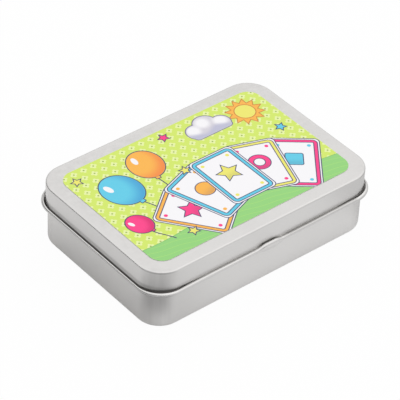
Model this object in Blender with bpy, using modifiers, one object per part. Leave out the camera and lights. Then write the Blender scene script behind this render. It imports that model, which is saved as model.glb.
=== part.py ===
"""Card game tin with a hinged lid, drawn from tinplate, with its hinge wires, lid label and deck of cards.

Metres, +Z up. The origin lies on the table under the middle of the tin, the long side runs along X,
the thumb tab is at the front (-Y) and the hinge at the back (+Y).
"""

import math

import bmesh
import bpy
from mathutils import Matrix, Vector

MM = 0.001

# The whole tin, over the lid's walls
LENGTH = 110.0 * MM
WIDTH = 75.5 * MM
HEIGHT = 28.2 * MM
CORNER_RADIUS = 11.0 * MM
SHEET = 0.25 * MM  # tinplate

# The lid
LID_EDGE_RADIUS = 1.0 * MM
HEM_DROP = 10.0 * MM  # from the top face down to the middle of the hem's curl
HEM_RADIUS = 0.85 * MM  # outside of the curl
HEM_END_DEGREES = 100  # how far the curl turns on past its outermost point
TAB_WIDTH = 13.0 * MM
TAB_REACH = 0.55 * MM  # how far the thumb tab stands out beyond the hem
TAB_DEPTH = 0.65 * MM  # how much further than the hem it reaches, up and down

# The body
WALL_INSET = 0.75 * MM  # from the lid's outer face to the body's
RIM_RADIUS = 0.7 * MM  # outside of the curl that the rim turns inwards
RIM_END_DEGREES = 270
RIM_GAP = 0.3 * MM  # between the rim and the closed lid's panel
BASE_EDGE_RADIUS = 2.0 * MM
STANDING_WIDTH = 3.0 * MM  # the flat ring that the tin stands on
RECESS_DEPTH = 0.5 * MM
RECESS_SLOPE = 0.5 * MM

# The hinge
LOOP_WIDTH = 8.0 * MM
LOOP_CLEARANCE = 0.1 * MM  # between a wire and the loop that turns on it
LOOP_END_DEGREES = 215
LOOP_ROOT_DROP = 2.0 * MM  # from the hinge line down to where the strap leaves the wall
LOOP_ROOT_COVER = 0.3 * MM  # wall left between the strap's root and its window
NOTCH_CLEARANCE = 0.8 * MM  # beside a loop, in the lid's hem
NOTCH_RISE = 1.4 * MM  # from the hinge line up to the notch's upper edge
WINDOW_RISE = 2.4 * MM
WIRE_RADIUS = 0.45 * MM
WIRE_LENGTH = 24.0 * MM
WIRE_CORNER_CLEARANCE = 4.0 * MM  # from a wire's outer end to where the hem bends into the corner
WIRE_CHAMFER = 0.15 * MM
CUT_OVERRUN = 1.0 * MM

# The label on the lid
LABEL_LENGTH = 97.5 * MM
LABEL_WIDTH = 63.3 * MM
LABEL_RADIUS = 6.0 * MM
LABEL_THICKNESS = 0.15 * MM
LABEL_SEAT = 0.02 * MM

# The deck
CARD_LENGTH = 100.0 * MM
CARD_WIDTH = 62.0 * MM
CARD_RADIUS = 4.0 * MM
CARD_THICKNESS = 0.3 * MM
CARD_GAP = 0.03 * MM
CARD_COUNT = 54

CORNER_STEPS = 8
EDGE_STEPS = 4
HEM_STEPS = 12
RIM_STEPS = 10
LOOP_STEPS = 12
TAB_STEPS = 10
PLATE_CORNER_STEPS = 4
WIRE_SIDES = 16

# Where the pieces meet
hem_centre = HEM_RADIUS - SHEET  # how far the curl's middle lies outside the lid's wall
hinge_y = WIDTH / 2 + hem_centre
hinge_z = HEIGHT - HEM_DROP
hinge_x = LENGTH / 2 - CORNER_RADIUS - WIRE_CORNER_CLEARANCE - WIRE_LENGTH / 2  # middle of each loop
rim_z = HEIGHT - SHEET - RIM_GAP - RIM_RADIUS
floor_z = RECESS_DEPTH + SHEET
loop_radius = WIRE_RADIUS + LOOP_CLEARANCE + SHEET / 2  # to the middle of the strap's sheet


def arc(centre, radius, start_degrees, end_degrees, steps):
    """Points along an arc in the plane of a section, both ends included."""
    turn = (end_degrees - start_degrees) / steps
    angles = [math.radians(start_degrees + turn * step) for step in range(steps + 1)]
    return [
        (centre[0] + radius * math.cos(angle), centre[1] + radius * math.sin(angle))
        for angle in angles
    ]


def tab_swell(x):
    """1 at the middle of the thumb tab, easing to 0 at its two ends."""
    return (1 + math.cos(2 * math.pi * x / TAB_WIDTH)) / 2


def outline(offset, height):
    """One ring round the tin: a rounded rectangle this far outside the lid's wall."""
    ring = []
    for corner, (side_x, side_y) in enumerate(((1, -1), (1, 1), (-1, 1), (-1, -1))):
        centre = (
            side_x * (LENGTH / 2 - CORNER_RADIUS),
            side_y * (WIDTH / 2 - CORNER_RADIUS),
        )
        start = 90 * (corner - 1)
        for x, y in arc(centre, CORNER_RADIUS + offset, start, start + 90, CORNER_STEPS):
            ring.append((x, y, height))
    return ring


def outline_with_tab(offset, height, hem=False):
    """The same ring with points across the front, where a ring of the hem swells into the thumb tab."""
    tab = []
    for step in range(TAB_STEPS + 1):
        x = TAB_WIDTH * (step / TAB_STEPS - 1 / 2)
        swell = tab_swell(x) if hem else 0
        out = offset * (1 + swell * TAB_REACH / (2 * hem_centre))
        tab.append((x, -WIDTH / 2 - out, height + swell * TAB_DEPTH * (height - hinge_z) / hem_centre))
    return tab + outline(offset, height)


def loft(name, rings):
    """An open sheet through the rings, closed by a flat panel over the first."""
    mesh = bmesh.new()
    loops = [[mesh.verts.new(point) for point in ring] for ring in rings]
    mesh.faces.new(loops[0])
    for upper, lower in zip(loops, loops[1:]):
        for column in range(len(upper)):
            after = (column + 1) % len(upper)
            mesh.faces.new((upper[column], lower[column], lower[after], upper[after]))
    data = bpy.data.meshes.new(name)
    mesh.to_mesh(data)
    mesh.free()
    return bpy.data.objects.new(name, data)


def give_thickness(piece, offset):
    """Turns an open sheet into tinplate. Offset -1 grows it behind its faces, 0 to both sides."""
    sheet = piece.modifiers.new("sheet", "SOLIDIFY")
    sheet.thickness = SHEET
    sheet.offset = offset
    sheet.use_even_offset = True


def combine(piece, tool, operation):
    join = piece.modifiers.new(tool.name, "BOOLEAN")
    join.operation = operation
    join.solver = "EXACT"
    join.object = tool


def material(name, colour, roughness, metallic=0):
    finish = bpy.data.materials.new(name)
    finish.use_nodes = True
    shader = finish.node_tree.nodes["Principled BSDF"]
    shader.inputs["Base Color"].default_value = (*colour, 1)
    shader.inputs["Roughness"].default_value = roughness
    shader.inputs["Metallic"].default_value = metallic
    finish.diffuse_color = (*colour, 1)
    return finish


def add(piece, finish):
    """Puts a finished piece into the tin's collection."""
    piece.data.materials.append(finish)
    parts.objects.link(piece)
    return piece


def add_tool(piece):
    """Keeps a cutter, or a shape that is joined to a piece, out of the render."""
    piece.hide_render = True
    piece.display_type = "WIRE"
    tools.objects.link(piece)
    return piece


def hang(piece, pivot):
    """Hangs a piece on the hinge without moving it."""
    piece.parent = pivot
    piece.matrix_parent_inverse = Matrix.Translation(-pivot.location)


def block(name, low, high):
    """A box between two corners."""
    mesh = bmesh.new()
    size = Vector(high) - Vector(low)
    middle = (Vector(high) + Vector(low)) / 2
    bmesh.ops.create_cube(mesh, size=1, matrix=Matrix.Translation(middle) @ Matrix.Diagonal((*size, 1)))
    data = bpy.data.meshes.new(name)
    mesh.to_mesh(data)
    mesh.free()
    return bpy.data.objects.new(name, data)


def rounded_plate(name, length, width, radius, thickness):
    """A flat plate with round corners, such as a card, as a filled curve."""
    corners = []
    for corner, (side_x, side_y) in enumerate(((1, -1), (1, 1), (-1, 1), (-1, -1))):
        centre = (side_x * (length / 2 - radius), side_y * (width / 2 - radius))
        start = 90 * (corner - 1)
        corners += arc(centre, radius, start, start + 90, PLATE_CORNER_STEPS)
    data = bpy.data.curves.new(name, "CURVE")
    data.dimensions = "2D"
    data.fill_mode = "BOTH"
    data.extrude = thickness / 2
    edge = data.splines.new("POLY")
    edge.points.add(len(corners) - 1)
    for point, (x, y) in zip(edge.points, corners):
        point.co = (x, y, 0, 1)
    edge.use_cyclic_u = True
    return data


def make_lid():
    """The lid is one drawn sheet: panel, small edge radius, wall, and a hem that curls outwards and up."""
    rings = [outline_with_tab(offset - LID_EDGE_RADIUS, height) for offset, height in arc(
        (0, HEIGHT - LID_EDGE_RADIUS), LID_EDGE_RADIUS, 90, 0, EDGE_STEPS
    )]
    hem = arc((hem_centre, hinge_z), hem_centre, 180, 360 + HEM_END_DEGREES, HEM_STEPS)
    rings += [outline_with_tab(offset, height, True) for offset, height in hem]
    lid = loft("lid", rings)
    give_thickness(lid, -1)
    for side in (-1, 1):
        half = LOOP_WIDTH / 2 + NOTCH_CLEARANCE
        notch = add_tool(block(
            "lid_notch_" + ("left" if side < 0 else "right"),
            (side * hinge_x - half, WIDTH / 2 - SHEET - CUT_OVERRUN, hinge_z - HEM_RADIUS - CUT_OVERRUN),
            (side * hinge_x + half, hinge_y + HEM_RADIUS + CUT_OVERRUN, hinge_z + NOTCH_RISE),
        ))
        combine(lid, notch, "DIFFERENCE")
    return lid


def make_strap(name, x):
    """A strap lanced out of the back wall. It runs out under the wire and wraps round it."""
    root_y = WIDTH / 2 - WALL_INSET - SHEET / 2
    root = Vector((root_y - hinge_y, -LOOP_ROOT_DROP))
    leans = math.degrees(math.atan2(root.y, root.x))
    touches = leans + math.degrees(math.acos(loop_radius / root.length))
    path = [tuple(root)] + arc((0, 0), loop_radius, touches, LOOP_END_DEGREES, LOOP_STEPS)
    mesh = bmesh.new()
    rows = [
        [mesh.verts.new((x + side * LOOP_WIDTH / 2, hinge_y + y, hinge_z + z)) for side in (-1, 1)]
        for y, z in path
    ]
    for before, after in zip(rows, rows[1:]):
        mesh.faces.new((before[0], before[1], after[1], after[0]))
    data = bpy.data.meshes.new(name)
    mesh.to_mesh(data)
    mesh.free()
    strap = bpy.data.objects.new(name, data)
    give_thickness(strap, 0)
    return add_tool(strap)


def make_body():
    """The body is one drawn tray: raised panel, standing ring, wall, and a rim that curls inwards."""
    standing_inset = WALL_INSET + BASE_EDGE_RADIUS + STANDING_WIDTH
    rings = [
        outline(-standing_inset - RECESS_SLOPE, RECESS_DEPTH),
        outline(-standing_inset, 0),
    ]
    edge = arc((-WALL_INSET - BASE_EDGE_RADIUS, BASE_EDGE_RADIUS), BASE_EDGE_RADIUS, 270, 360, EDGE_STEPS)
    rings += [outline(offset, height) for offset, height in edge]
    rim = arc((-WALL_INSET - RIM_RADIUS, rim_z), RIM_RADIUS, 0, RIM_END_DEGREES, RIM_STEPS)
    rings += [outline(offset, height) for offset, height in rim]
    body = loft("tin_body", [ring[::-1] for ring in rings])
    give_thickness(body, -1)
    for side in (-1, 1):
        hand = "left" if side < 0 else "right"
        x = side * hinge_x
        window = add_tool(block(
            "wall_window_" + hand,
            (
                x - LOOP_WIDTH / 2,
                WIDTH / 2 - WALL_INSET - SHEET - CUT_OVERRUN,
                hinge_z - LOOP_ROOT_DROP + LOOP_ROOT_COVER,
            ),
            (x + LOOP_WIDTH / 2, WIDTH / 2 - WALL_INSET + CUT_OVERRUN, hinge_z + WINDOW_RISE),
        ))
        combine(body, window, "DIFFERENCE")
        combine(body, make_strap("hinge_strap_" + hand, x), "UNION")
    return body


def make_wire(name, x):
    """A straight length of steel wire along the hinge line, with its ends broken."""
    mesh = bmesh.new()
    bmesh.ops.create_cone(
        mesh,
        cap_ends=True,
        segments=WIRE_SIDES,
        radius1=WIRE_RADIUS,
        radius2=WIRE_RADIUS,
        depth=WIRE_LENGTH,
    )
    bmesh.ops.rotate(mesh, verts=mesh.verts, cent=(0, 0, 0), matrix=Matrix.Rotation(math.pi / 2, 3, "Y"))
    data = bpy.data.meshes.new(name)
    mesh.to_mesh(data)
    mesh.free()
    wire = bpy.data.objects.new(name, data)
    wire.location = (x, hinge_y, hinge_z)
    chamfer = wire.modifiers.new("broken_ends", "BEVEL")
    chamfer.width = WIRE_CHAMFER
    chamfer.segments = 1
    chamfer.limit_method = "ANGLE"
    chamfer.angle_limit = math.radians(60)
    return wire


for old in list(bpy.data.objects):
    bpy.data.objects.remove(old, do_unlink=True)
parts = bpy.data.collections.new("card_game_tin")
tools = bpy.data.collections.new("cutters_and_joined_shapes")
bpy.context.scene.collection.children.link(parts)
bpy.context.scene.collection.children.link(tools)

tinplate = material("tinplate", (0.66, 0.65, 0.63), 0.32, 1)
wire_steel = material("wire_steel", (0.55, 0.55, 0.56), 0.25, 1)
printed_label = material("printed_label", (0.45, 0.72, 0.12), 0.35)
card_stock = material("card_stock", (0.86, 0.84, 0.80), 0.55)

lid_hinge = bpy.data.objects.new("lid_hinge", None)
lid_hinge.location = (0, hinge_y, hinge_z)
parts.objects.link(lid_hinge)

add(make_body(), tinplate)
hang(add(make_lid(), tinplate), lid_hinge)
for hand, side in (("left", -1), ("right", 1)):
    hang(add(make_wire("hinge_pin_" + hand, side * hinge_x), wire_steel), lid_hinge)

label_shape = rounded_plate("lid_label", LABEL_LENGTH, LABEL_WIDTH, LABEL_RADIUS, LABEL_THICKNESS)
lid_label = bpy.data.objects.new("lid_label", label_shape)
lid_label.location = (0, 0, HEIGHT + LABEL_SEAT + LABEL_THICKNESS / 2)
hang(add(lid_label, printed_label), lid_hinge)

card_shape = rounded_plate("card", CARD_LENGTH, CARD_WIDTH, CARD_RADIUS, CARD_THICKNESS)
card_shape.materials.append(card_stock)
for place in range(CARD_COUNT):
    card = bpy.data.objects.new(f"card_{place + 1:02d}", card_shape)
    lowest = floor_z + CARD_GAP + CARD_THICKNESS / 2
    card.location = (0, 0, lowest + place * (CARD_THICKNESS + CARD_GAP))
    parts.objects.link(card)
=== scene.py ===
import math
import random

import bmesh
import bpy
from mathutils import Matrix, Vector


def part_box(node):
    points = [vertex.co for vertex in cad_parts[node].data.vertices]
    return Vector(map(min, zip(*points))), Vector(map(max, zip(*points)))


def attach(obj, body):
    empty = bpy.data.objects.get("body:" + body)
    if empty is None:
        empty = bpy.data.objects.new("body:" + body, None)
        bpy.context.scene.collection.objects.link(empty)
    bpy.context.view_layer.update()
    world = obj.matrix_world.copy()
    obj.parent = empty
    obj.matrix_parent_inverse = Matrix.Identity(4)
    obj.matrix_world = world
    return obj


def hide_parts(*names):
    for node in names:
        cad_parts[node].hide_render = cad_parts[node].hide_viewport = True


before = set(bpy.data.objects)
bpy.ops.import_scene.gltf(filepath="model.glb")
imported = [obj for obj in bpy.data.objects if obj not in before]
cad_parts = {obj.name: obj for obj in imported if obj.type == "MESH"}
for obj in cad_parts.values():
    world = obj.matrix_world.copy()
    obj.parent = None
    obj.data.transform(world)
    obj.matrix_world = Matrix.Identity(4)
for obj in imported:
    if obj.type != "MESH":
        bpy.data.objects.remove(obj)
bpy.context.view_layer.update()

# The view. The tin is photographed from its front left corner, from a little under a metre away,
# by a long lens that is turned slightly clockwise.
VIEW_AZIMUTH = math.radians(-41.03)
VIEW_ELEVATION = math.radians(39.44)
VIEW_ROLL = math.radians(2.8)
VIEW_DISTANCE = 0.92389
VIEW_RIGHT = 0.001565
VIEW_UP = -0.01118
VIEW_CLIP = 0.01
FOCAL_SHARE = 5.8518  # focal length over the width of the picture

back = Vector((
    math.sin(VIEW_AZIMUTH) * math.cos(VIEW_ELEVATION),
    -math.cos(VIEW_AZIMUTH) * math.cos(VIEW_ELEVATION),
    math.sin(VIEW_ELEVATION),
))
level = Vector((math.cos(VIEW_AZIMUTH), math.sin(VIEW_AZIMUTH), 0))
upward = back.cross(level)
across = math.cos(VIEW_ROLL) * level + math.sin(VIEW_ROLL) * upward
upright = math.cos(VIEW_ROLL) * upward - math.sin(VIEW_ROLL) * level
camera = bpy.data.objects.new("camera", bpy.data.cameras.new("camera"))
camera.data.lens = FOCAL_SHARE * camera.data.sensor_width
camera.matrix_world = Matrix.Translation(
    back * VIEW_DISTANCE - across * VIEW_RIGHT - upright * VIEW_UP
) @ Matrix((across, upright, back)).transposed().to_4x4()
camera.data.clip_start = VIEW_CLIP
bpy.context.scene.collection.objects.link(camera)
bpy.context.scene.camera = camera
bpy.context.scene.view_settings.view_transform = "Standard"


# The studio. The tin stands on a wide white table under a big soft light that hangs overhead and leans
# to the right. Low behind the camera and low at the left back the room is dark, and the satin metal
# shows that.
class Paint:
    """A socket of a node tree. Operators on it add Math nodes, and node() adds any other kind."""

    def __init__(self, tree, socket=None):
        self.tree = tree
        self.socket = socket

    def node(self, kind, settings=None, inputs=None, output=0):
        made = self.tree.nodes.new("ShaderNode" + kind)
        for name, value in (settings or {}).items():
            setattr(made, name, value)
        for name, value in (inputs or {}).items():
            if isinstance(value, Paint):
                self.tree.links.new(value.socket, made.inputs[name])
            else:
                made.inputs[name].default_value = value
        return Paint(self.tree, made.outputs[output]) if made.outputs else None

    def beside(self, output):
        """Another output of the same node."""
        return Paint(self.tree, self.socket.node.outputs[output])

    def parts(self):
        """The three numbers of a vector."""
        first = self.node("SeparateXYZ", None, {0: self})
        return first, first.beside(1), first.beside(2)

    def facing(self, way):
        """How far this direction points the given way: 1 straight there, 0 square to it."""
        return self.node("VectorMath", {"operation": "DOT_PRODUCT"}, {0: self, 1: way}, "Value")

    def math(self, operation, *values):
        return self.node("Math", {"operation": operation}, dict(enumerate((self, *values))))

    def __add__(self, other):
        return self.math("ADD", other)

    def __sub__(self, other):
        return self.math("SUBTRACT", other)

    def __mul__(self, other):
        return self.math("MULTIPLY", other)

    def __truediv__(self, other):
        return self.math("DIVIDE", other)

    def __rsub__(self, other):
        return self.node("Math", {"operation": "SUBTRACT"}, {0: other, 1: self})

    def __neg__(self):
        return self * -1

    def __abs__(self):
        return self.math("ABSOLUTE")

    __radd__ = __add__
    __rmul__ = __mul__

    def least(self, other):
        return self.math("MINIMUM", other)

    def most(self, other):
        return self.math("MAXIMUM", other)

    def clamped(self):
        return self.node("Clamp", None, {0: self})

    def eased(self, start, end):
        """0 up to the start, 1 from the end on, and a smooth step between them."""
        values = {0: self, 1: start, 2: end} if start < end else {0: self, 1: end, 2: start, 3: 1, 4: 0}
        return self.node("MapRange", {"interpolation_type": "SMOOTHSTEP"}, values)

    def mix(self, under, over):
        """Over where this socket is 1, under where it is 0. Both are colours."""
        return self.node("Mix", {"data_type": "RGBA"}, {0: self, 6: under, 7: over}, 2)


def far(p, q):
    """The distance from the place where both are 0."""
    return (p * p + q * q).math("SQRT")


FLOOR_REACH = 6
FLOOR_GAP = 0.0001  # how far the table lies under the tin
FLOOR_WHITE = (0.9, 0.9, 0.9, 1)
PURE_WHITE = (1, 1, 1, 1)
SEEN_WHITE = 0.96  # how far the camera sees the table as plain white, and the rest as it is lit
MIRRORED_WHITE = 0.95  # the same for what the metal reflects, in front of the tin
MIRRORED_FAR = 0.42  # beside and behind it, from a thumb's width away on, falling to 0 at its walls
BRIGHTER = (-0.030, -0.045)  # the y between which the table brightens towards the front
HALF_LENGTH, HALF_WIDTH = 0.055, 0.038  # of the tin, as the dimming takes it
DIMMED = (0.003, 0.026)  # the distances from it between which the table reaches that share
NEAR_CORNER = (-0.044, -0.0268)  # the middle of the bend of the tin's nearest corner
SHADED = 0.7  # how dark a soft patch of painted shade on the table before that corner is, seen only in the metal
SHADED_TOWARD = (-0.80, -0.60)  # the way to that patch from the middle of the bend
SHADED_WITHIN = (0.35, 0.95)  # how closely another way matches it, for no shade and for all of it
SHADED_FROM, SHADED_TO = (0.010, 0.030), (0.046, 0.032)  # how far away it sets in, and goes
SHADED_FRONT, FRONT_SHADE = 0.15, (-0.008, -0.040)  # its share along the front, and where in x
SHADED_RIGHT, RIGHT_SHADE = 0.2, (0.049, 0.063)  # and to the right of the tin
SHADE = (0.1, 0.1, 0.1, 1)

floor_finish = bpy.data.materials.new("studio_floor")
floor_finish.use_nodes = True
floor_finish.node_tree.nodes.clear()
paint = Paint(floor_finish.node_tree)
lit = paint.node("BsdfDiffuse", None, {"Color": FLOOR_WHITE})
glow = paint.node("Emission", None, {"Color": PURE_WHITE, "Strength": 1})
dark = paint.node("Emission", None, {"Color": SHADE, "Strength": 1})
seen = paint.node("LightPath", None, None, "Is Camera Ray")
mirrored = seen.beside("Is Glossy Ray") + seen.beside("Is Transmission Ray")
x, y, _ = paint.node("TexCoord", None, None, "Object").parts()
brighter = y.eased(*BRIGHTER)
apart = (abs(x) - HALF_LENGTH).most(abs(y) - HALF_WIDTH)
dim = apart.eased(*DIMMED) * MIRRORED_FAR
mirrored_white = mirrored * (brighter * (MIRRORED_WHITE - dim) + dim)
table = paint.node("MixShader", None, {0: seen * SEEN_WHITE + mirrored_white, 1: lit, 2: glow})
# Painted shade on the table, seen only in the metal: a soft patch before the near corner, where the
# camera's shadow would fall, and weaker shade along the front's left part and to the right of the tin.
east, north = x - NEAR_CORNER[0], y - NEAR_CORNER[1]
away = far(east, north)
patch = ((east * SHADED_TOWARD[0] + north * SHADED_TOWARD[1]) / away).eased(*SHADED_WITHIN)
patch = patch * away.eased(*SHADED_FROM) * away.eased(*SHADED_TO) * SHADED
patch = patch.most(x.eased(*FRONT_SHADE) * brighter * SHADED_FRONT)
patch = patch.most(x.eased(*RIGHT_SHADE) * SHADED_RIGHT)
table = paint.node("MixShader", None, {0: patch * mirrored, 1: table, 2: dark})
paint.node("OutputMaterial", None, {"Surface": table})
bpy.ops.mesh.primitive_plane_add(size=FLOOR_REACH, location=(0, 0, -FLOOR_GAP))
floor = bpy.context.object
floor.name = "studio_floor"
floor.data.materials.append(floor_finish)

LIGHT_FROM = Vector((0.30, -0.05, 0.95)).normalized()
LIT_SKY = (1.29, 1.285, 1.28, 1)
DIM_SKY = (0.48, 0.48, 0.48, 1)
SIDE_LIT = 0.05  # the share of the lit sky square to the light
DARK = (0.03, 0.03, 0.03, 1)
DARK_SHARE = 0.93
DARK_PLACES = (  # the way there, how near to it the dark starts, and the height where it has gone
    ((back.x, back.y, 0.1), 0.5, 0.40),
    ((-0.8, 0.58, 0.1), 0.3, 0.62),
)

world = bpy.data.worlds.new("studio")
world.use_nodes = True
bpy.context.scene.world = world
world.node_tree.nodes.clear()
paint = Paint(world.node_tree)
direction = paint.node("TexCoord", None, None, "Generated")
_, _, height = direction.parts()
sky = (direction.facing(LIGHT_FROM) + SIDE_LIT).clamped().mix(DIM_SKY, LIT_SKY)
for way, start, gone in DARK_PLACES:
    there = direction.facing(Vector(way).normalized())
    sky = (there.eased(start, 0.95) * height.eased(gone, gone * 0.3) * DARK_SHARE).mix(sky, DARK)
paint.node("OutputWorld", None, {0: paint.node("Background", None, {"Color": sky, "Strength": 1})})


# The tin's body, a tray drawn from one tinplate sheet: a raised panel inside the flat ring that it
# stands on, straight walls a little inside the lid's, and a rim curled inwards. Two straps are lanced
# out of its back wall and wrapped round the hinge wires.
wire_low, wire_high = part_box("hinge_pin_right")
HINGE = (wire_low + wire_high) / 2
WIRE_RADIUS = (wire_high.z - wire_low.z) / 2
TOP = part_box("lid")[1].z
SHEET = 0.00025
WALL_LENGTH = 0.110  # over the lid's walls
WALL_WIDTH = 0.0755
CORNER_RADIUS = 0.011
WALL_INSET = 0.00075
RIM_RADIUS = 0.0007
RIM_GAP = 0.0003
BASE_EDGE_RADIUS = 0.002
BASE_EDGE_RUBBED = 0.6
STANDING_WIDTH = 0.003
RECESS_DEPTH = 0.0005
HOLD = 0.0003  # a flat face keeps its own shading up to this far from a bend
SHARP = 40  # degrees at which an edge of the sheet is left sharp
EDGE_STEPS = 8
CORNER_STEPS = 20
CORNERS = ((1, -1), (1, 1), (-1, 1), (-1, -1))  # in order round the tin, from the front right one

STRAP_WIDTH = 0.008
STRAP_PLAY = 0.0001  # between a strap and its wire
STRAP_ROOT = 0.002  # how far below the hinge's line a strap leaves the wall
STRAP_END = 215  # degrees round the wire where a strap ends
WINDOW_BELOW, WINDOW_ABOVE = 0.0017, 0.0024  # its window, from the hinge's line
WINDOW_INSIDE, WINDOW_OUTSIDE = 0.003, 0.001  # and through the wall, from the lid's wall


def arc(across_middle, up_middle, radius, start, end, steps):
    """Points on an arc of a section, from one angle in degrees to another."""
    angles = [math.radians(start + (end - start) * step / steps) for step in range(steps + 1)]
    return [(across_middle + radius * math.cos(a), up_middle + radius * math.sin(a)) for a in angles]


def columns(front_stops=()):
    """Where sections stand round the lid: a point, the way out, and how much of a corner it is."""
    stations = [(Vector((stop, -WALL_WIDTH / 2)), Vector((0, -1)), 0) for stop in front_stops]
    for corner, (side_x, side_y) in enumerate(CORNERS):
        middle = Vector((
            side_x * (WALL_LENGTH / 2 - CORNER_RADIUS),
            side_y * (WALL_WIDTH / 2 - CORNER_RADIUS),
        ))
        for step in range(CORNER_STEPS + 1):
            angle = math.radians(90 * (corner - 1 + step / CORNER_STEPS))
            out = Vector((math.cos(angle), math.sin(angle)))
            corner_share = math.sin(math.pi * step / CORNER_STEPS)
            stations.append((middle + out * CORNER_RADIUS, out, corner_share))
    return stations


def placed(name, mesh):
    """Ends the work on a mesh and puts it into the scene as an object."""
    data = bpy.data.meshes.new(name)
    mesh.to_mesh(data)
    mesh.free()
    piece = bpy.data.objects.new(name, data)
    bpy.context.scene.collection.objects.link(piece)
    return piece


def drawn_sheet(name, stations, section, flip):
    """A sheet through one section for each station, with a flat panel inside the first points.

    A section is a list of points: how far out, how high, and how worn, a value that also carries
    painted highlight and painted shade.
    """
    mesh = bmesh.new()
    marks = [mesh.verts.layers.float.new(kind) for kind in ("wear_and_painted_light", "drawn")]
    rings = []
    for station in stations:
        point, out, corner_share = station
        column = []
        for offset, height, wear_and_light in section(station):
            place = point + out * offset
            vertex = mesh.verts.new((place.x, place.y, height))
            vertex[marks[0]], vertex[marks[1]] = wear_and_light, corner_share
            column.append(vertex)
        rings.append(column)
    panel = [column[0] for column in rings]
    mesh.faces.new(panel[::-1] if flip else panel)
    for before, after in zip(rings, rings[1:] + rings[:1]):
        for row in range(len(before) - 1):
            corners = [before[row], before[row + 1], after[row + 1], after[row]]
            mesh.faces.new(corners[::-1] if flip else corners)
    return placed(name, mesh)


def thicken(piece, offset):
    """Gives a sheet its thickness: inwards at -1, to both sides at 0."""
    sheet = piece.modifiers.new("sheet", "SOLIDIFY")
    sheet.thickness = SHEET
    sheet.offset = offset
    sheet.use_even_offset = True


def block(name, low, high):
    """A box that cuts."""
    mesh = bmesh.new()
    low, high = Vector(low), Vector(high)
    size = Matrix.Diagonal((*(high - low), 1))
    bmesh.ops.create_cube(mesh, size=1, matrix=Matrix.Translation((low + high) / 2) @ size)
    return placed(name, mesh)


def join(piece, tool, operation):
    change = piece.modifiers.new(tool.name, "BOOLEAN")
    change.operation = operation
    change.object = tool


def shade(data, sharp_degrees):
    data.shade_smooth()
    data.set_sharp_from_angle(angle=math.radians(sharp_degrees))


def settle(piece, tools):
    """Keeps the piece as its modifiers leave it, removes what shaped it and shades it smooth."""
    bpy.context.view_layer.update()
    graph = bpy.context.evaluated_depsgraph_get()
    finished = bpy.data.meshes.new_from_object(piece.evaluated_get(graph))
    piece.modifiers.clear()
    piece.data = finished
    for tool in tools:
        bpy.data.objects.remove(tool)
    shade(finished, SHARP)


def finish_nodes(name, metallic=0):
    """A new material, its shader, a Paint for its nodes, and the place on the piece."""
    finish = bpy.data.materials.new(name)
    finish.use_nodes = True
    shader = finish.node_tree.nodes["Principled BSDF"]
    shader.inputs["Metallic"].default_value = metallic
    paint = Paint(finish.node_tree)
    return finish, shader, paint, paint.node("TexCoord", None, None, "Object")


def noise(place, scale, detail, roughness=0.5):
    """Noise of so many grains to the metre. Three numbers stretch it along the axes."""
    if isinstance(scale, tuple):
        place = place.node("Mapping", None, {"Vector": place, "Scale": scale})
        scale = 1
    values = {"Vector": place, "Scale": scale, "Detail": detail, "Roughness": roughness}
    return place.node("TexNoise", None, values)


def relief(height, strength, depth):
    """A fine unevenness of a surface, as its normal."""
    return height.node("Bump", None, {"Strength": strength, "Distance": depth, "Height": height})


def dress(shader, **surface):
    """Links each value to the shader's socket of that name, with blanks for underscores."""
    for name, value in surface.items():
        value.tree.links.new(value.socket, shader.inputs[name.replace("_", " ")])


# Satin tinplate has rolling grain along X, clouds from handling, rubbed edges and streaked corners. One
# float of the sheet is above 0 where it is rubbed bright and where a highlight is painted, above 1 on
# the thumb tab's painted highlight, and below 0 where shade is painted. Its "drawn" says how much of a
# corner it is.
TIN_LOW, TIN_HIGH = (0.62, 0.611, 0.602, 1), (0.73, 0.721, 0.711, 1)
# The painted highlight's colour, then the painted shade's.
TIN_HIGHLIGHT = (0.9, 0.893, 0.885, 1)
TIN_PAINTED_SHADE = (0.20, 0.20, 0.19, 1)

bright_tin, shader, paint, spot = finish_nodes("tinplate", 1)
grain = noise(spot, (60, 2600, 2600), 3, 0.6)
speck = noise(spot, 1700, 1)
cloud = noise(spot, 38, 4, 0.55)
streak = noise(spot, (420, 420, 16), 3, 0.6)
wear_and_painted_light = paint.node("Attribute", {"attribute_name": "wear_and_painted_light"}, None, "Fac")
drawn = paint.node("Attribute", {"attribute_name": "drawn"}, None, "Fac")
# Rub and painted highlight above 0, painted shade below 0.
rub_and_highlight, painted_shade = wear_and_painted_light.most(0), (-wear_and_painted_light).most(0)
tone = (cloud * 0.7 + grain * 0.3 - 0.1 + rub_and_highlight * 0.5 + (streak - 0.62) * drawn * 1.6).clamped()
tin_with_highlight = (rub_and_highlight - 1).clamped().mix(tone.mix(TIN_LOW, TIN_HIGH), TIN_HIGHLIGHT)
dress(
    shader,
    Base_Color=(painted_shade * 0.3).mix(tin_with_highlight, TIN_PAINTED_SHADE),
    Roughness=0.34 + (cloud - 0.5) * 0.14 + (grain - 0.5) * 0.10 + (speck - 0.5) * 0.06 - rub_and_highlight * 0.08,
    Normal=relief(grain * 0.5 + speck * 0.3 + cloud * 0.2, 0.12, 0.00004),
)

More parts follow.
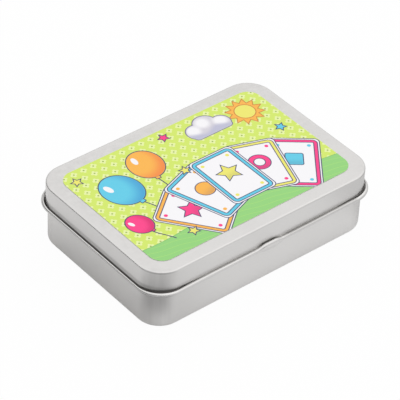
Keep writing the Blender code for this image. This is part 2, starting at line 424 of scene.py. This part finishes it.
edge_middle = -WALL_INSET - BASE_EDGE_RADIUS
standing = edge_middle - STANDING_WIDTH
rim_height = TOP - SHEET - RIM_GAP - RIM_RADIUS
base_edge = [
    (*place, BASE_EDGE_RUBBED * math.sin(math.pi * step / EDGE_STEPS))
    for step, place in enumerate(
        arc(edge_middle, BASE_EDGE_RADIUS, BASE_EDGE_RADIUS, 270, 360, EDGE_STEPS)
    )
]
rim_curl = arc(-WALL_INSET - RIM_RADIUS, rim_height, RIM_RADIUS, 0, 270, 18)
tray = [
    # The raised panel's edge and the soft step down from it to the standing ring.
    (standing - 0.0014, RECESS_DEPTH, 0),
    (standing - 0.0006, RECESS_DEPTH, 0),
    (standing - 0.0004, RECESS_DEPTH * 0.9, 0),
    (standing - 0.0001, RECESS_DEPTH * 0.1, 0),
    (standing + 0.0001, 0, 0),
    (standing + 0.0001 + HOLD, 0, 0),
    (edge_middle - HOLD, 0, 0),
    *base_edge,
    (-WALL_INSET, BASE_EDGE_RADIUS + HOLD, 0),
    (-WALL_INSET, rim_height - HOLD, 0),
    *((*place, 0) for place in rim_curl),
]
tin = drawn_sheet("tin_body_drawn", columns(), lambda station: tray, True)
thicken(tin, -1)
tools = []
for side in (-1, 1):
    middle = side * HINGE.x
    window = block(
        "wall_window",
        (middle - STRAP_WIDTH / 2, WALL_WIDTH / 2 - WINDOW_INSIDE, HINGE.z - WINDOW_BELOW),
        (middle + STRAP_WIDTH / 2, WALL_WIDTH / 2 + WINDOW_OUTSIDE, HINGE.z + WINDOW_ABOVE),
    )
    join(tin, window, "DIFFERENCE")
    tools.append(window)

    # The strap leaves the wall at its root, straight to where its line touches the loop round the wire.
    root = Vector((WALL_WIDTH / 2 - WALL_INSET - SHEET / 2 - HINGE.y, -STRAP_ROOT))
    loop_radius = WIRE_RADIUS + STRAP_PLAY + SHEET / 2
    touches = math.degrees(math.atan2(root.y, root.x) + math.acos(loop_radius / root.length))
    mesh = bmesh.new()
    rows = [
        [mesh.verts.new((middle + end * STRAP_WIDTH / 2, HINGE.y + y, HINGE.z + z)) for end in (-1, 1)]
        for y, z in [tuple(root), *arc(0, 0, loop_radius, touches, STRAP_END, 30)]
    ]
    for before, after in zip(rows, rows[1:]):
        mesh.faces.new((before[0], before[1], after[1], after[0]))
    strap = placed("hinge_strap", mesh)
    thicken(strap, 0)
    join(tin, strap, "UNION")
    tools.append(strap)
settle(tin, tools)
tin.data.materials.append(bright_tin)
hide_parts("tin_body")
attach(tin, "tin")


# The deck. Each card is a stiff printed board with round corners, cut with the rest of its sheet, and
# the cards lie loosely squared up. Only the top one's back shows: a plain lattice in a white margin.
CARD_COUNT = 54
CARD_ROUND = 0.004
CARD_BROKEN_EDGE = 0.00004
CARD_JITTER = 0.00018
CARD_TURN = math.radians(0.12)
LATTICE = 0.0046  # between two lines of the lattice
FIELD_HALF = (0.0462, 0.0272)  # half the length and width of the lattice
BAND_INSET = 0.0011  # from the lattice's edge to the middle of the white line inside it
PRINT_SHARP = 9000  # the edges of both are this sharp: one over their width in metres


def swatch(red, green, blue):
    """A printed or painted colour, given as it looks on a screen, 0 to 255."""
    linear = [((step / 255 + 0.055) / 1.055) ** 2.4 for step in (red, green, blue)]
    return (*linear, 1)


def round_corners(length, width, radius, steps):
    """The outline of a plate with round corners."""
    points = []
    for corner, (side_x, side_y) in enumerate(CORNERS):
        middle_x, middle_y = side_x * (length / 2 - radius), side_y * (width / 2 - radius)
        points += arc(middle_x, middle_y, radius, 90 * (corner - 1), 90 * corner, steps)
    return points


def plate(name, low, high, radius, edge):
    """A flat plate between two corners, with round corners and slightly broken edges."""
    length, width = high.x - low.x, high.y - low.y
    mesh = bmesh.new()
    rings = []
    for cut, z in ((edge, low.z), (0, low.z + edge), (0, high.z - edge), (edge, high.z)):
        outline = round_corners(length - 2 * cut, width - 2 * cut, radius - cut, 10)
        rings.append([mesh.verts.new((*place, z)) for place in outline])
    mesh.faces.new(rings[0][::-1])
    mesh.faces.new(rings[-1])
    for under, over in zip(rings, rings[1:]):
        for place in range(len(under)):
            after = (place + 1) % len(under)
            mesh.faces.new((under[place], under[after], over[after], over[place]))
    made = placed(name, mesh)
    shade(made.data, 30)
    return made


CARD_BLUE = swatch(60, 178, 208)
CARD_PALE_BLUE = swatch(214, 240, 246)
CARD_WHITE = swatch(246, 246, 240)
BOARD_DARK, BOARD_PALE = swatch(214, 208, 196), swatch(240, 237, 229)

printed_card, shader, paint, spot = finish_nodes("printed_card")
x, y, z = spot.parts()
lean_right = ((x + y) / LATTICE).math("FRACT")
lean_left = ((x - y) / LATTICE).math("FRACT")
line = (abs(lean_right - 0.5).least(abs(lean_left - 0.5)) * -14 + 1.4).clamped()
past_field = (abs(x) - FIELD_HALF[0]).most(abs(y) - FIELD_HALF[1])
margin = (past_field * PRINT_SHARP + 0.5).clamped()
band = (abs(past_field + BAND_INSET) * -PRINT_SHARP + 2.6).clamped()
back_print = margin.mix(band.mix(line.mix(CARD_BLUE, CARD_PALE_BLUE), CARD_WHITE), CARD_WHITE)
cut_edge = (noise(spot, (30, 30, 3300), 2) * 1.4 - 0.3).clamped().mix(BOARD_DARK, BOARD_PALE)
top_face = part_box(f"card_{CARD_COUNT}")[1].z
on_top = ((z - (top_face - 0.00002)) * 200000 + 0.5).clamped()
dress(
    shader,
    Base_Color=on_top.mix(cut_edge, back_print),
    Roughness=0.5 - on_top * 0.16 + (noise(spot, 900, 3) - 0.5) * 0.1,
)

dice = random.Random(7)
for number in range(1, CARD_COUNT + 1):
    node = f"card_{number:02d}"
    card = plate(f"deck_{node}", *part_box(node), CARD_ROUND, CARD_BROKEN_EDGE)
    shift_x = dice.uniform(-1, 1) * CARD_JITTER
    shift_y = dice.uniform(-1, 1) * CARD_JITTER
    turn = Matrix.Rotation(dice.uniform(-1, 1) * CARD_TURN, 4, "Z")
    card.data.transform(Matrix.Translation((shift_x, shift_y, 0)) @ turn)
    card.data.materials.append(printed_card)
    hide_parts(node)
    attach(card, "tin")


# The hinge wires, two straight cuts of bright drawn steel wire. They lie in the lid's curled hem and
# the straps of the body turn on them.
WIRE_DARK, WIRE_PALE = (0.42, 0.42, 0.43, 1), (0.62, 0.62, 0.63, 1)
WIRE_BROKEN_EDGE = 0.00015

drawn_wire, shader, paint, spot = finish_nodes("drawn_wire", 1)
lines = noise(spot, (90, 9000, 9000), 2)
dress(shader, Base_Color=lines.mix(WIRE_DARK, WIRE_PALE), Roughness=0.2 + lines * 0.15)
for hand in ("left", "right"):
    low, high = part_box("hinge_pin_" + hand)
    lying = Matrix.Translation((low + high) / 2) @ Matrix.Rotation(math.pi / 2, 4, "Y")
    mesh = bmesh.new()
    bmesh.ops.create_cone(
        mesh,
        cap_ends=True,
        segments=32,
        radius1=WIRE_RADIUS,
        radius2=WIRE_RADIUS,
        depth=high.x - low.x,
        matrix=lying,
    )
    ends = [edge for edge in mesh.edges if len({round(v.co.x, 6) for v in edge.verts}) == 1]
    bmesh.ops.bevel(
        mesh, geom=ends, offset=WIRE_BROKEN_EDGE, segments=3, profile=0.5, affect="EDGES"
    )
    wire = placed("hinge_wire_" + hand, mesh)
    shade(wire.data, 35)
    wire.data.materials.append(drawn_wire)
    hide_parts("hinge_pin_" + hand)
    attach(wire, "lid")


# The lid, one drawn tinplate sheet. Its hem curls outwards and up, nearly shut along the front and more
# open on the short sides and in the corners. A thumb tab is pressed out of the hem at the front.
LID_EDGE_RADIUS = 0.0007
HEM_RADIUS = 0.00085
HEM_MIDDLE = HEM_RADIUS - SHEET
HEM_TIGHTER = 0.0002  # how much smaller the curl is on the short sides
HEM_LOWER = 0.0003  # how much lower than the wires it sits on the left and along the front
HEM_RISES = (0.025, 0.020)  # from this x on, and over this length, it rises again to the right
HEM_FLARE = 0.0003  # how much larger it is in a corner
HEM_STEPS = 30
HEM_OPEN = 84  # degrees past the hem's outermost point where the sheet ends, in a corner
HEM_SHUT = 92  # the same along the back and the short sides
HEM_SHUT_FRONT = 152  # the same along the front
HEM_CLOSING = 0.015  # the length along which it closes from a corner to the front
TAB_WIDTH = 0.013
TAB_FLANK = 0.0045  # along which each end of the tab rises
TAB_REACH = 0.00055
TAB_DEPTH = 0.00065
TAB_RISE = 0.00105
TAB_SHUT = 134

LID_EDGE_PAINTED_SHADE = 1.6  # how dark a line of painted shade on the lid's edge is, low down in the front corners
FRONT_RUB_AND_HIGHLIGHT = 0.6  # the rub and painted highlight of the front's hem, left of the middle
FRONT_DIMMED_TO_SHADE, FRONT_FADE = 1.1, 0.010  # how much lower it is to the right, down into painted shade, and over what length
TAB_HIGHLIGHT = 2.2  # how bright the tab's painted highlight is, a little right of the middle
TAB_HIGHLIGHT_MIDDLE, TAB_HIGHLIGHT_WIDTH = 0.0055, 0.0028
TAB_PAINTED_SHADE = 1.7  # how dark the painted shade is on the wall just over the tab
WALL_SHADE_ROWS = (  # how high over the hinge's line, the painted shade there as a value at or below 0, and how much darker it is on the left
    (0.0034, 0, 0),
    (0.0028, 0, 0.8),
    (0.0022, -0.25, 1.3),
    (0.0018, -0.45, 0.9),
    (0.0014, -0.6, 0),
    (0.0009, -0.9, 0),
)


def smooth(share):
    """A smooth step from 0 at 0 to 1 at 1."""
    share = min(1, max(0, share))
    return share * share * (3 - 2 * share)


def hem_rub_and_painted_light(past, hem_rub_and_highlight, tab_highlight, left, corner_share):
    """How rubbed the hem is, with its painted highlight and painted shade, so many degrees past its
    outermost point.
    """
    # Rub and painted highlight from the outermost point up over the top of the curl; painted shade on
    # its outer face and underside, more on the left.
    over = hem_rub_and_highlight * smooth((past - 10) / 30) + tab_highlight * smooth((past - 45) / 50)
    level = (0.3 + left) * smooth((25 - past) / 25)
    under = left * (0.3 + 0.7 * corner_share) * smooth((-60 - past) / 40)
    return over - (level + under)


def lid_section(station):
    """The lid's section at a station, from its panel's edge to the end of its hem."""
    point, out, corner_share = station
    swell, hem_rub_and_highlight, tab_highlight = 0, 1, 0
    left = max(0, -out.x)
    end = HEM_SHUT + (HEM_OPEN - HEM_SHUT) * math.sqrt(corner_share)
    if out.y == -1:
        if abs(point.x) < TAB_WIDTH / 2:
            risen = min(1, (TAB_WIDTH / 2 - abs(point.x)) / TAB_FLANK)
            swell = (1 - math.cos(math.pi * risen)) / 2
        # Along the front the hem's rub and painted highlight fade to painted shade on the right, and
        # the tab gets a painted highlight a little right of its middle.
        hem_rub_and_highlight = FRONT_RUB_AND_HIGHLIGHT - FRONT_DIMMED_TO_SHADE * smooth(point.x / FRONT_FADE)
        tab_highlight = TAB_HIGHLIGHT * smooth(1.5 - abs(point.x - TAB_HIGHLIGHT_MIDDLE) / TAB_HIGHLIGHT_WIDTH)
        closing = min(1, (WALL_LENGTH / 2 - CORNER_RADIUS - abs(point.x)) / HEM_CLOSING)
        end += (HEM_SHUT_FRONT - HEM_SHUT) * closing + (TAB_SHUT - HEM_SHUT_FRONT) * math.sqrt(swell)

    section = [(-LID_EDGE_RADIUS - HOLD, TOP, 0)]
    # The lid's edge gets a painted highlight line with its rub, weaker at the front, and a line of
    # painted shade low down in the front corners.
    edge_rub_and_highlight = 1 + 0.9 * min(0, out.y)
    edge = arc(-LID_EDGE_RADIUS, TOP - LID_EDGE_RADIUS, LID_EDGE_RADIUS, 90, 0, EDGE_STEPS)
    for step, place in enumerate(edge):
        edge_shade = LID_EDGE_PAINTED_SHADE * corner_share * smooth((step - 5) / 2) if out.y < 0 else 0
        section.append((*place, edge_rub_and_highlight * math.sin(math.pi * step / EDGE_STEPS) ** 3 - edge_shade))
    section.append((0, TOP - LID_EDGE_RADIUS - HOLD, 0))

    # Painted shade on the wall over the hem's slit, darker on the left and over the tab.
    for rise, wear_and_light, lower in WALL_SHADE_ROWS:
        wear_and_light -= lower * left + TAB_PAINTED_SHADE * swell * smooth((0.0022 - rise) / 0.0005)
        section.append((0, HINGE.z + rise, wear_and_light))

    curl = HEM_MIDDLE - HEM_TIGHTER * out.x ** 2 + HEM_FLARE * corner_share
    rising = smooth((point.x - HEM_RISES[0]) / HEM_RISES[1])
    middle = HINGE.z - HEM_LOWER * (1 - max(0, out.y) ** 2) * (1 - rising)
    stretch = 1 + swell * TAB_REACH / (2 * HEM_MIDDLE)
    for step, (offset, height) in enumerate(arc(curl, middle, curl, 180, 360 + end, HEM_STEPS)):
        swollen = TAB_RISE if height > middle else TAB_DEPTH
        height += swell * swollen * (height - middle) / HEM_MIDDLE
        past = (180 + end) * step / HEM_STEPS - 180
        section.append((offset * stretch, height, hem_rub_and_painted_light(past, hem_rub_and_highlight, tab_highlight, left, corner_share)))
    return section


NOTCH_HALF = 0.0048
NOTCH_INSIDE, NOTCH_OUTSIDE = 0.00125, 0.00185  # from the wall, and from the hinge's line
NOTCH_BELOW, NOTCH_ABOVE = 0.00185, 0.0014

tab_stops = [TAB_WIDTH * (step / 36 - 0.5) for step in range(37)]
side_stops = [0.010 + 0.005 * step for step in range(7)]
front_stops = [-stop for stop in side_stops[::-1]] + tab_stops + side_stops
lid = drawn_sheet("lid_drawn", columns(front_stops), lid_section, False)
thicken(lid, -1)
tools = []
for side in (-1, 1):
    middle = side * HINGE.x
    notch = block(
        "lid_notch",
        (middle - NOTCH_HALF, WALL_WIDTH / 2 - NOTCH_INSIDE, HINGE.z - NOTCH_BELOW),
        (middle + NOTCH_HALF, HINGE.y + NOTCH_OUTSIDE, HINGE.z + NOTCH_ABOVE),
    )
    join(lid, notch, "DIFFERENCE")
    tools.append(notch)
settle(lid, tools)
lid.data.materials.append(bright_tin)
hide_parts("lid")
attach(lid, "lid")


# The lid's label, a printed paper with a clear film, cut with round corners and stuck on the panel. Its
# picture is a generic one: cards with plain figures, balloons, a sun, a cloud and stars over a green
# hill, on a ground of small flowers. Lengths in it are millimetres.
LABEL_ROUND = 0.006
LABEL_BROKEN_EDGE = 0.00006
SOFT = 0.1  # over which two inks meet
LINE = 0.2  # half the width of an ink line
INK = swatch(70, 70, 110)
PAPER = swatch(236, 234, 228)
WHITE = swatch(248, 247, 250)
TURQUOISE, DEEP_TURQUOISE = swatch(98, 206, 234), swatch(66, 160, 214)
ORANGE, DEEP_ORANGE = swatch(252, 184, 78), swatch(246, 132, 66)
MAGENTA, DEEP_MAGENTA = swatch(254, 64, 140), swatch(216, 34, 110)
YELLOW = swatch(240, 234, 112)

printed_label, shader, paint, spot = finish_nodes("printed_label")
shader.inputs["Specular IOR Level"].default_value = 0.3
x, y, height = spot.parts()
u, v = x * 1000, y * 1000


def turned(middle_u, middle_v, degrees=0):
    """The label seen from a place on it, turned counterclockwise."""
    cosine, sine = math.cos(math.radians(degrees)), math.sin(math.radians(degrees))
    right, up = u - middle_u, v - middle_v
    return right * cosine + up * sine, up * cosine - right * sine


def disc(place, radius):
    return far(*place) - radius


def oval(place, half_width, half_height):
    p, q = place
    return (far(p / half_width, q / half_height) - 1) * min(half_width, half_height)


def box(place, half_width, half_height, radius):
    p, q = place
    right, up = abs(p) - (half_width - radius), abs(q) - (half_height - radius)
    return far(right.most(0), up.most(0)) + right.most(up).least(0) - radius


def star(place, reach, waist, points):
    p, q = place
    slice_angle = math.pi / points
    around = p.math("ARCTAN2", q)
    folded = abs((around / (2 * slice_angle)).math("FRACT") - 0.5) * (2 * slice_angle)
    out = far(p, q)
    folded = slice_angle - folded
    right, up = out * folded.math("COSINE"), out * folded.math("SINE")
    run = waist * math.cos(slice_angle) - reach
    rise = waist * math.sin(slice_angle)
    length = math.hypot(run, rise)
    return (right - reach) * (rise / length) + up * (-run / length)


def inside(distance):
    return (0.5 - distance / SOFT).clamped()


def draw(picture, distance, colour, line=INK):
    """Fills a shape and draws a thin line round it."""
    picture = inside(distance).mix(picture, colour)
    return inside(abs(distance) - LINE).mix(picture, line) if line else picture


# The ground: rows of four-petalled flowers, each row half a step along from the last.
FLOWER_ROW, FLOWER_STEP = 3.9, 4.7
PETAL_OUT, PETAL_LONG, PETAL_WIDE = 0.78, 0.74, 0.62
LIME, PALE_LIME, FLOWER_HEART = swatch(213, 235, 108), swatch(235, 246, 172), swatch(160, 184, 96)

row_number = (v / FLOWER_ROW).math("FLOOR")
shifted = u / FLOWER_STEP + (row_number * 0.5).math("FRACT")
cell_u = (shifted.math("FRACT") - 0.5) * FLOWER_STEP
cell_v = ((v / FLOWER_ROW).math("FRACT") - 0.5) * FLOWER_ROW
petals = oval((abs(cell_u) - PETAL_OUT, cell_v), PETAL_LONG, PETAL_WIDE)
petals = petals.least(oval((cell_u, abs(cell_v) - PETAL_OUT), PETAL_WIDE, PETAL_LONG))
picture = inside(petals).mix(LIME, PALE_LIME)
picture = inside(disc((cell_u, cell_v), 0.4)).mix(picture, FLOWER_HEART)

# The hill, with pale blades of grass and a darker line along its top.
LEAF, BLADE, HILL_LINE = swatch(150, 214, 126), swatch(182, 232, 122), swatch(120, 190, 110)

hill = v + 19.5 - (u * 0.062 + 0.9).math("SINE") * 2.6
picture = inside(hill).mix(picture, LEAF)
blades = abs((u * 0.08 + v * 0.35 + (u * 0.4).math("SINE") * 0.1).math("FRACT") - 0.5) * 9 - 0.2
picture = inside(blades.most(hill + 0.6)).mix(picture, BLADE)
picture = inside(abs(hill) - 0.14).mix(picture, HILL_LINE)

# The sun, and the cloud with its lit puffs and its shaded underside.
SUN_LINE = swatch(206, 130, 60)
CLOUD_LINE = swatch(118, 112, 146)
CLOUD_GREY, CLOUD_SHADE = swatch(216, 213, 222), swatch(182, 184, 212)

sun = turned(37, 21)
picture = draw(picture, star(sun, 8.2, 5.6, 12), ORANGE, SUN_LINE)
picture = draw(picture, disc(sun, 4.4), YELLOW, SUN_LINE)
puffs = disc(turned(13, 22), 4.6)
for puff_u, puff_v, puff_radius in ((19, 24, 5.4), (25, 21.5, 4.2)):
    puffs = puffs.least(disc(turned(puff_u, puff_v), puff_radius))
puffs = puffs.least(box(turned(19, 19.3), 9.4, 2.1, 2))
picture = draw(picture, puffs, CLOUD_GREY, CLOUD_LINE)
for puff_u, puff_v in ((18.2, 25.2), (12.2, 23.2), (25.4, 22.6)):
    lit_puff = far(*turned(puff_u, puff_v)).eased(4.4, 1.6)
    picture = (lit_puff * inside(puffs + 0.6)).mix(picture, WHITE)
underside = (v * 0.9 + (u * 0.5).math("SINE")).eased(19.5, 17.0)
picture = (underside * inside(puffs + 0.4) * 0.7).mix(picture, CLOUD_SHADE)

# The balloons, each on a waving string, with a knot, a shaded side and a highlight.
for balloon_u, balloon_v, lean, half, colour, deep in (
    (-33, 11, 14, 8.2, TURQUOISE, DEEP_TURQUOISE),
    (-16, 18, -6, 7.4, ORANGE, DEEP_ORANGE),
    (-40, -9, 20, 5.0, MAGENTA, DEEP_MAGENTA),
):
    p, q = turned(balloon_u, balloon_v, lean)
    string = abs(p - (q * 0.28).math("SINE") * 0.8) - 0.05
    string = string.most(q + half).most(-(q + half * 3.1))
    picture = inside(string - LINE).mix(picture, INK)
    knot = box((p, q + half * 1.24), half * 0.14, half * 0.1, 0.2)
    skin = oval((p, q), half, half * 1.18)
    picture = draw(picture, skin.least(knot), colour)
    dusk = oval((p + half * 0.35, q - half * 0.35), half * 0.9, half * 1.05)
    dusk = dusk.eased(-half * 0.25, half * 0.5)
    picture = (dusk * inside(skin + 0.3) * 0.85).mix(picture, deep)
    shine = oval((p + half * 0.38, q - half * 0.5), half * 0.16, half * 0.3)
    picture = draw(picture, shine, WHITE, None)

# The hand of cards, fanned round a place under the label. Each has a frame, four pips and a figure.
FAN_U, FAN_V, FAN_REACH = 7, -47, 40
FIGURE_UP = 2  # how far over the card's middle the figure stands

for card_turn, colour, figure, figure_colour in (
    (38, ORANGE, "star", MAGENTA),
    (19, TURQUOISE, "disc", ORANGE),
    (-38, MAGENTA, "square", TURQUOISE),
    (-19, YELLOW, "ring", MAGENTA),
    (0, TURQUOISE, "star", YELLOW),
):
    angle = math.radians(card_turn)
    card_u, card_v = FAN_U - FAN_REACH * math.sin(angle), FAN_V + FAN_REACH * math.cos(angle)
    place = turned(card_u, card_v, card_turn)
    picture = draw(picture, box(place, 10.5, 15, 2.2), WHITE)
    picture = draw(picture, abs(box(place, 8.9, 13.4, 1.4)) - 0.75, colour)
    pips = disc((abs(place[0]) - 6.2, abs(place[1]) - 10.6), 0.8)
    picture = inside(pips).mix(picture, figure_colour)
    place = place[0], place[1] - FIGURE_UP
    shape = {
        "star": lambda: star(place, 5.4, 2.6, 5),
        "disc": lambda: disc(place, 4),
        "ring": lambda: abs(disc(place, 3.4)) - 1.1,
        "square": lambda: box(place, 3.6, 3.6, 0.8),
    }[figure]()
    picture = draw(picture, shape, figure_colour)
    picture = (inside(shape + 0.5) * place[1].eased(1, -5) * 0.35).mix(picture, INK)

# The small stars.
for star_u, star_v, star_turn, colour in (
    (0, 27, 10, MAGENTA),
    (-6, 6, -14, YELLOW),
    (42, 5, 22, TURQUOISE),
    (-44, 25, 0, YELLOW),
    (-26, -24, 12, YELLOW),
):
    picture = draw(picture, star(turned(star_u, star_v, star_turn), 2.6, 1.25, 5), colour)

label_low, label_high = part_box("lid_label")
on_face = ((height - (label_high.z - 0.00003)) * 60000 + 0.5).clamped()
fibre, film = noise(spot, 700, 3), noise(spot, 60, 2)
dress(
    shader,
    Base_Color=on_face.mix(PAPER, picture),
    Roughness=0.42 + (film - 0.5) * 0.12 + (fibre - 0.5) * 0.06,
    Normal=relief(fibre * 0.6 + film * 0.4, 0.08, 0.00003),
)
label = plate("lid_label_print", label_low, label_high, LABEL_ROUND, LABEL_BROKEN_EDGE)
label.data.materials.append(printed_label)
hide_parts("lid_label")
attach(label, "lid")
